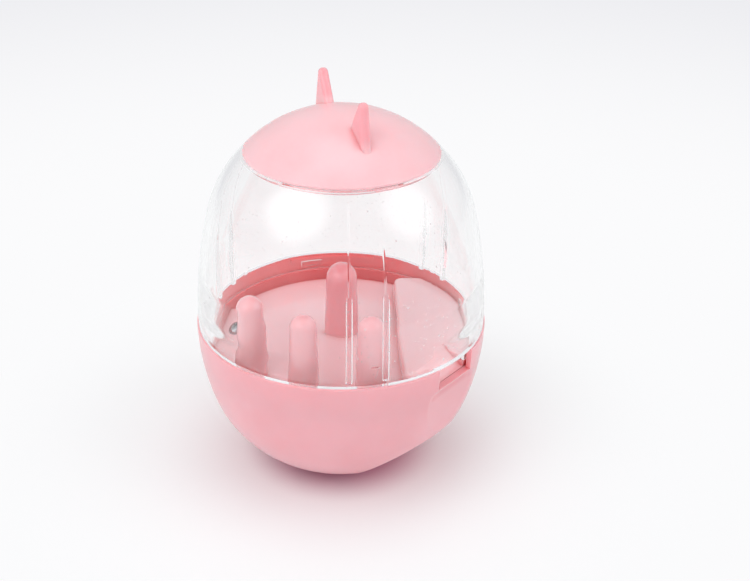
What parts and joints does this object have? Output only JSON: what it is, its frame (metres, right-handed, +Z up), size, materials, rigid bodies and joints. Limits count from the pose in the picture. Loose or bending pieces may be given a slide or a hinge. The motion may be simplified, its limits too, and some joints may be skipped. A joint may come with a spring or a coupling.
{
  "type": "wobble treat dispenser",
  "caption": "Egg-shaped rocking treat toy: weighted bowl base with a treat outlet, clear turning dome over a tray with posts, and a domed lid with two fins.",
  "frame": {"origin": "centre of the flat foot under the base, where the standing toy touches the floor", "axes": "+Z up along the egg's axis, -Y towards the treat outlet, +X to the right of the outlet"},
  "size_m": [0.09, 0.0896, 0.1234],
  "materials": {
    "base_plastic": "satin pink moulding",
    "tray_plastic": "satin pink moulding",
    "dome_plastic": "clear polished moulding",
    "lid_plastic": "satin pale pink moulding",
    "weight_steel": "plain turned steel",
    "cover_plastic": "matt pink moulding",
    "screw_steel": "bright zinc"
  },
  "bodies": {
    "base": {"base_shell": "base_plastic", "counterweight": "weight_steel", "weight_cover": "cover_plastic", "cover_screws": "screw_steel", "inner_tray": "tray_plastic", "tray_screws": "screw_steel"},
    "dome": {"clear_dome": "dome_plastic"},
    "cap": {"lid": "lid_plastic"}
  },
  "joints": [
    {"name": "dome_turn", "type": "hinge", "parent": "base", "child": "dome", "pos_m": [0, 0, 0.04915], "axis": [0, 0, 1], "range_deg": [-24, 20]},
    {"name": "lid_lift", "type": "slide", "parent": "dome", "child": "cap", "axis": [0, 0, 1], "range_m": [0, 0.045]}
  ]
}
